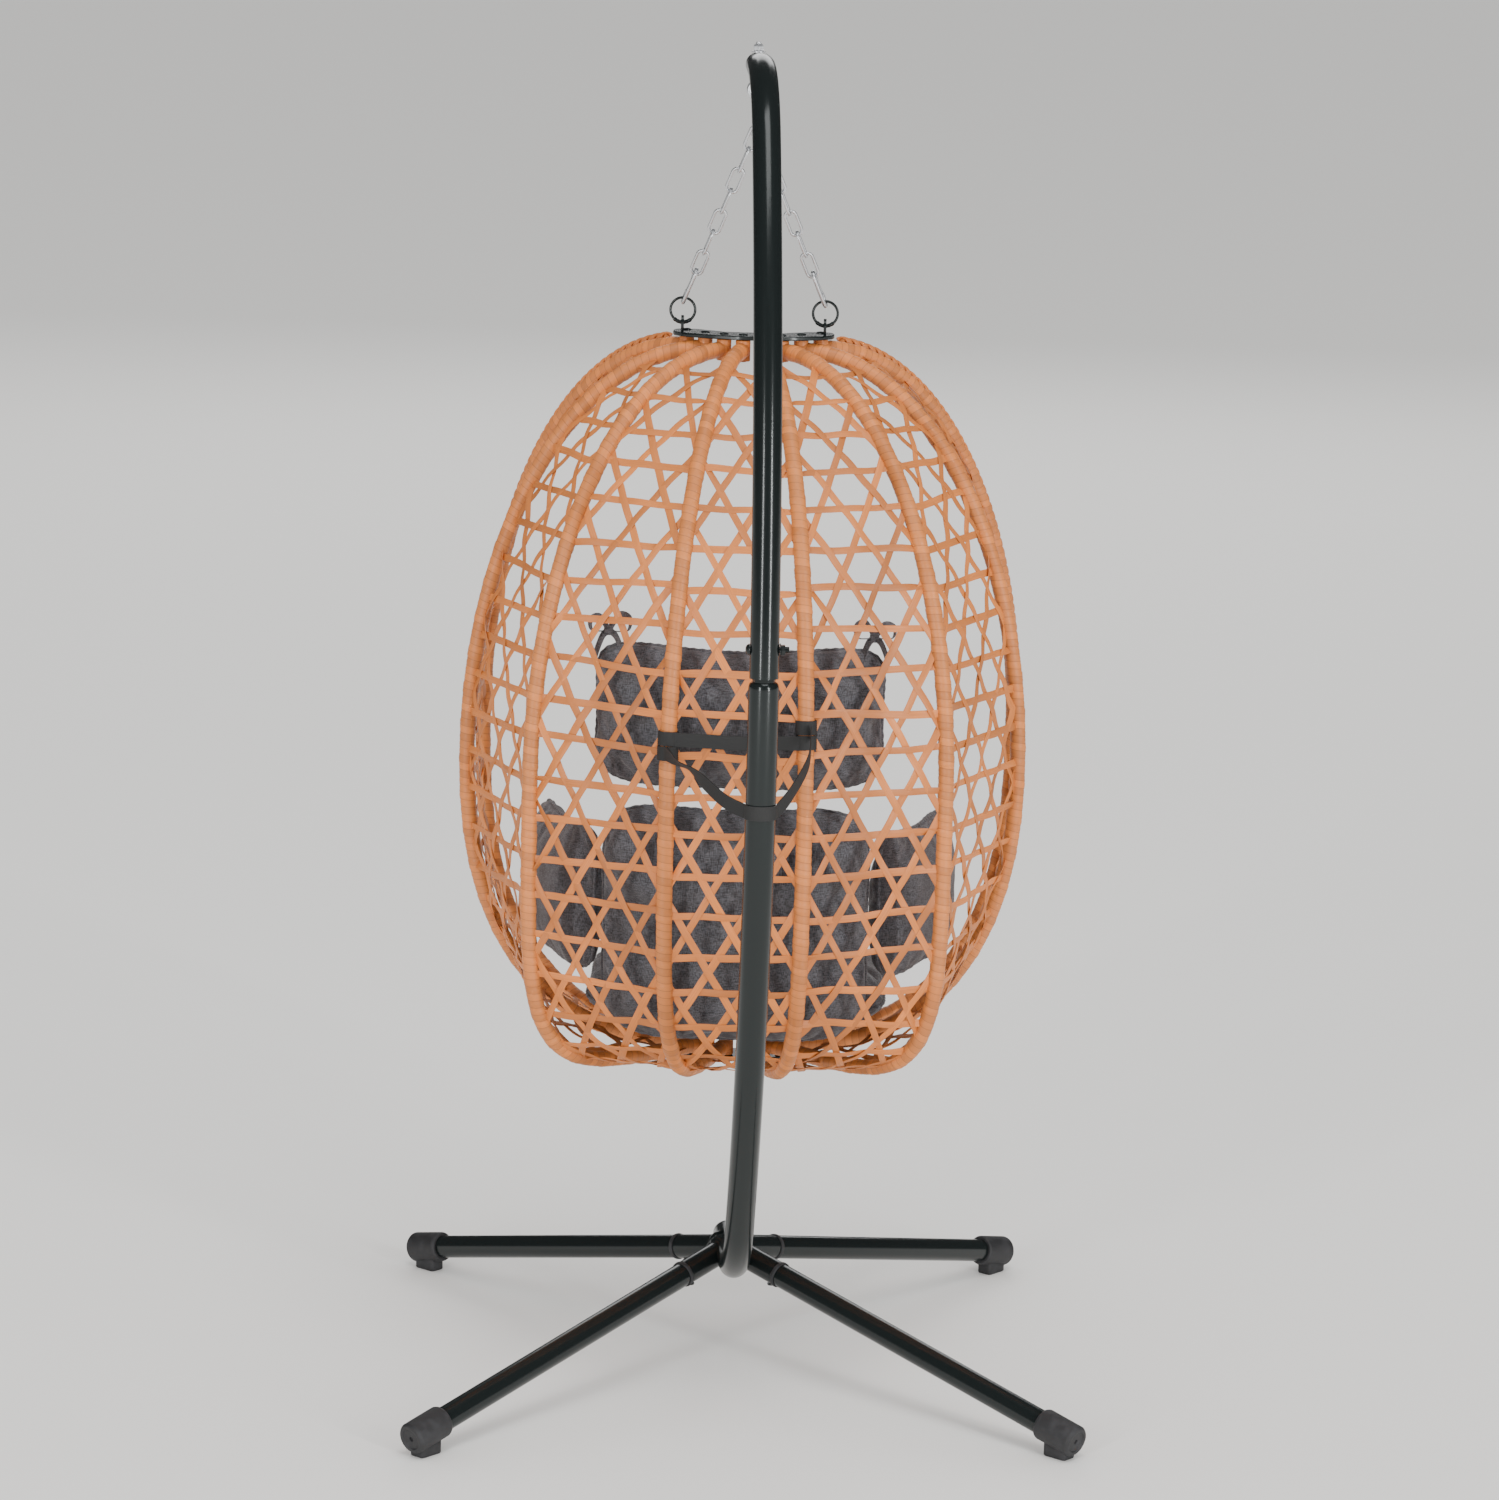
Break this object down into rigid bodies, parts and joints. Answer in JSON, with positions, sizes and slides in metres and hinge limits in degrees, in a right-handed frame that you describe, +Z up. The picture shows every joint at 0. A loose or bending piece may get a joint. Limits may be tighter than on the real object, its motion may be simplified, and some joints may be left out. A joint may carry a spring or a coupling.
{
  "type": "hanging egg chair",
  "caption": "Folding rattan egg basket with cushions, hung by two chains from a C-shaped tubular steel stand on a low cross base.",
  "frame": {"origin": "on the floor under the centre of the hub, at the centre of the footprint", "axes": "+Z up, +Y the way the seat faces, +X towards the sitter's right hand"},
  "size_m": [0.9644, 0.9638, 1.948],
  "materials": {
    "powder_coated_steel": "gloss",
    "zinc_plated_steel": "satin",
    "black_rubber": "matte",
    "poly_rattan": "satin",
    "elastic_webbing": "matte",
    "heather_fabric": "matte"
  },
  "bodies": {
    "stand": {"lower_post": "powder_coated_steel", "upper_post": "powder_coated_steel", "joint_spigot": "powder_coated_steel", "joint_bolt": "powder_coated_steel", "joint_nut": "powder_coated_steel", "hub_plug": "black_rubber", "eye_washer": "zinc_plated_steel", "leg_rear_left": "powder_coated_steel", "leg_collar_rear_left": "black_rubber", "leg_screw_rear_left": "powder_coated_steel", "foot_cap_rear_left": "black_rubber", "leg_rear_right": "powder_coated_steel", "leg_collar_rear_right": "black_rubber", "leg_screw_rear_right": "powder_coated_steel", "foot_cap_rear_right": "black_rubber", "leg_front_left": "powder_coated_steel", "leg_collar_front_left": "black_rubber", "leg_screw_front_left": "powder_coated_steel", "foot_cap_front_left": "black_rubber", "leg_front_right": "powder_coated_steel", "leg_collar_front_right": "black_rubber", "leg_screw_front_right": "powder_coated_steel", "foot_cap_front_right": "black_rubber"},
    "eye": {"eye_bolt": "zinc_plated_steel", "eye_nut": "zinc_plated_steel"},
    "top_hook": {"top_hook": "zinc_plated_steel"},
    "top_gate": {"top_hook_gate": "zinc_plated_steel"},
    "basket": {"chain_left": "zinc_plated_steel", "chain_right": "zinc_plated_steel", "side_hook_left": "zinc_plated_steel", "side_hook_right": "zinc_plated_steel", "ring_left": "powder_coated_steel", "ring_right": "powder_coated_steel", "top_hinge_plate": "powder_coated_steel", "bottom_hinge_plate": "powder_coated_steel", "back_rib_left": "poly_rattan", "back_rib_right": "poly_rattan", "weave_back": "poly_rattan", "back_band": "elastic_webbing", "tether_strap": "elastic_webbing", "head_pillow": "heather_fabric", "back_cushion": "heather_fabric", "seat_cushion": "heather_fabric", "arm_cushion_left": "heather_fabric", "arm_cushion_right": "heather_fabric"},
    "left_gate": {"side_hook_left_gate": "zinc_plated_steel"},
    "right_gate": {"side_hook_right_gate": "zinc_plated_steel"},
    "left_quarter": {"quarter_rib_left": "poly_rattan", "weave_quarter_left": "poly_rattan"},
    "left_side": {"side_rib_left": "poly_rattan", "weave_side_left": "poly_rattan"},
    "left_rim": {"front_rim_left": "poly_rattan", "weave_front_left": "poly_rattan"},
    "right_quarter": {"quarter_rib_right": "poly_rattan", "weave_quarter_right": "poly_rattan"},
    "right_side": {"side_rib_right": "poly_rattan", "weave_side_right": "poly_rattan"},
    "right_rim": {"front_rim_right": "poly_rattan", "weave_front_right": "poly_rattan"}
  },
  "joints": [
    {"name": "swivel", "type": "hinge", "parent": "stand", "child": "eye", "pos_m": [0, 0, 1.916], "axis": [0, 0, 1], "range_deg": [-4, 4]},
    {"name": "swing_fore_aft", "type": "hinge", "parent": "eye", "child": "top_hook", "pos_m": [0, 0, 1.8722], "axis": [1, 0, 0], "range_deg": [-4, 1.5]},
    {"name": "swing_side", "type": "hinge", "parent": "top_hook", "child": "basket", "pos_m": [0, 0, 1.8174], "axis": [0, 1, 0], "range_deg": [-2, 2]},
    {"name": "top_hook_gate", "type": "hinge", "parent": "top_hook", "child": "top_gate", "pos_m": [0, 0.01001, 1.834], "axis": [1, 0, 0], "range_deg": [0, 22], "stiffness_Nm_per_rad": 0.04, "springref_deg": -11.46},
    {"name": "side_hook_left_gate", "type": "hinge", "parent": "basket", "child": "left_gate", "pos_m": [-0.08704, 0.12296, 1.5835], "axis": [0.9383, -0.0108, -0.3457], "range_deg": [0, 22], "stiffness_Nm_per_rad": 0.04, "springref_deg": -11.46},
    {"name": "side_hook_right_gate", "type": "hinge", "parent": "basket", "child": "right_gate", "pos_m": [0.10733, 0.10626, 1.58354], "axis": [0.9255, -0.1496, 0.3481], "range_deg": [0, 22], "stiffness_Nm_per_rad": 0.04, "springref_deg": -11.46},
    {"name": "fold_left_rim", "type": "hinge", "parent": "basket", "child": "left_rim", "pos_m": [-0.08612, 0.14004, 0.9], "axis": [0, 0, 1], "range_deg": [0, 110.5], "deforming": ["weave_front_left", "arm_cushion_left", "seat_cushion", "back_cushion", "head_pillow"]},
    {"name": "fold_left_side", "type": "hinge", "parent": "basket", "child": "left_side", "pos_m": [-0.06067, 0.10971, 0.9], "axis": [0, 0, 1], "range_deg": [0, 65.6], "deforming": ["weave_side_left"]},
    {"name": "fold_left_quarter", "type": "hinge", "parent": "basket", "child": "left_quarter", "pos_m": [-0.03434, 0.08933, 0.9], "axis": [0, 0, 1], "range_deg": [0, 31.6], "deforming": ["weave_quarter_left"]},
    {"name": "fold_right_rim", "type": "hinge", "parent": "basket", "child": "right_rim", "pos_m": [0.10913, 0.12296, 0.9], "axis": [0, 0, -1], "range_deg": [0, 110.5], "deforming": ["weave_front_right", "arm_cushion_right", "tether_strap", "back_band"]},
    {"name": "fold_right_side", "type": "hinge", "parent": "basket", "child": "right_side", "pos_m": [0.0788, 0.0975, 0.9], "axis": [0, 0, -1], "range_deg": [0, 65.6], "deforming": ["weave_side_right"]},
    {"name": "fold_right_quarter", "type": "hinge", "parent": "basket", "child": "right_quarter", "pos_m": [0.04934, 0.08201, 0.9], "axis": [0, 0, -1], "range_deg": [0, 31.6], "deforming": ["weave_quarter_right"]}
  ],
  "couplings": [
    {"joint": "fold_left_side", "follows": "fold_left_rim", "ratio": 0.5927},
    {"joint": "fold_left_quarter", "follows": "fold_left_rim", "ratio": 0.285},
    {"joint": "fold_right_rim", "follows": "fold_left_rim", "ratio": 1},
    {"joint": "fold_right_side", "follows": "fold_left_rim", "ratio": 0.5927},
    {"joint": "fold_right_quarter", "follows": "fold_left_rim", "ratio": 0.285}
  ]
}
